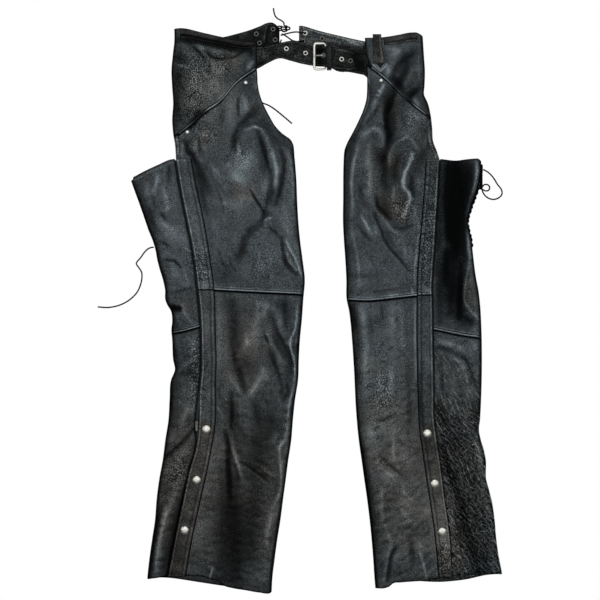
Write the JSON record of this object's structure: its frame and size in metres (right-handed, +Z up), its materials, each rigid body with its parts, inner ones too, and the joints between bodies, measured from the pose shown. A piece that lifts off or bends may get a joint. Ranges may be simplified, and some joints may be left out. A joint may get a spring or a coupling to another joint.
{
  "type": "chaps",
  "caption": "Black leather riding chaps laid flat, front up: zipped legs with snap plackets, slanted hip pockets, buckled front belt, laced back and thigh.",
  "frame": {"origin": "on the surface, under the middle of the garment's box without its loose laces", "axes": "+X to the wearer's left, +Y to the waist, +Z up from the surface, out of the chaps' front"},
  "size_m": [0.752, 1.0843, 0.0172],
  "materials": {
    "front_leather": "soft grained, semi-gloss",
    "yoke_leather": "pebbled, semi-gloss",
    "back_leather": "wrinkled, pebbled, semi-gloss",
    "strip_leather": "pebbled, edge stitched",
    "belt_leather": "smooth, doubled, satin",
    "lace_leather": "round lace, matte",
    "nickel": "polished nickel plate"
  },
  "bodies": {
    "garment": {"right_thigh_front": "front_leather", "right_shin_front": "front_leather", "right_hip_front": "yoke_leather", "right_hip_back": "back_leather", "right_thigh_back": "back_leather", "right_shin_back": "back_leather", "right_placket_upper": "strip_leather", "right_placket_lower": "strip_leather", "right_waistband": "strip_leather", "right_pocket_welt": "strip_leather", "right_zip": "nickel", "right_zip_slider": "nickel", "right_snap_1": "nickel", "right_snap_2": "nickel", "right_snap_3": "nickel", "left_thigh_front": "front_leather", "left_shin_front": "front_leather", "left_hip_front": "yoke_leather", "left_hip_back": "back_leather", "left_thigh_back": "back_leather", "left_shin_back": "back_leather", "left_placket_upper": "strip_leather", "left_placket_lower": "strip_leather", "left_waistband": "strip_leather", "left_pocket_welt": "strip_leather", "left_zip": "nickel", "left_zip_slider": "nickel", "left_snap_1": "nickel", "left_snap_2": "nickel", "left_snap_3": "nickel", "right_band_eyelet_1": "nickel", "right_band_eyelet_2": "nickel", "right_band_eyelet_3": "nickel", "right_band_eyelet_4": "nickel", "left_band_eyelet_1": "nickel", "left_band_eyelet_2": "nickel", "left_band_eyelet_3": "nickel", "right_pocket_rivet_1": "nickel", "right_pocket_rivet_2": "nickel", "left_pocket_rivet_1": "nickel", "belt_eyelet_1": "nickel", "belt_eyelet_2": "nickel", "belt_eyelet_3": "nickel", "belt_eyelet_4": "nickel", "belt_eyelet_5": "nickel", "buckle_frame": "nickel", "buckle_prong": "nickel", "belt_keeper": "strip_leather", "left_belt_loop": "strip_leather", "left_loop_tab": "strip_leather", "right_belt_strap": "belt_leather", "left_belt_strap": "belt_leather", "waist_lace_up": "lace_leather", "waist_lace_down": "lace_leather", "waist_lacing_long": "lace_leather", "waist_lacing_short": "lace_leather", "right_thigh_lace": "lace_leather", "left_thigh_lace": "lace_leather", "left_thigh_lacing": "lace_leather"},
    "zip_pull": {"right_zip_pull": "nickel"}
  },
  "joints": [
    {"name": "zip_pull_hinge", "type": "hinge", "parent": "garment", "child": "zip_pull", "pos_m": [-0.22277, -0.2156, 0.01159], "axis": [-1, 0, 0], "range_deg": [0, 150]}
  ]
}
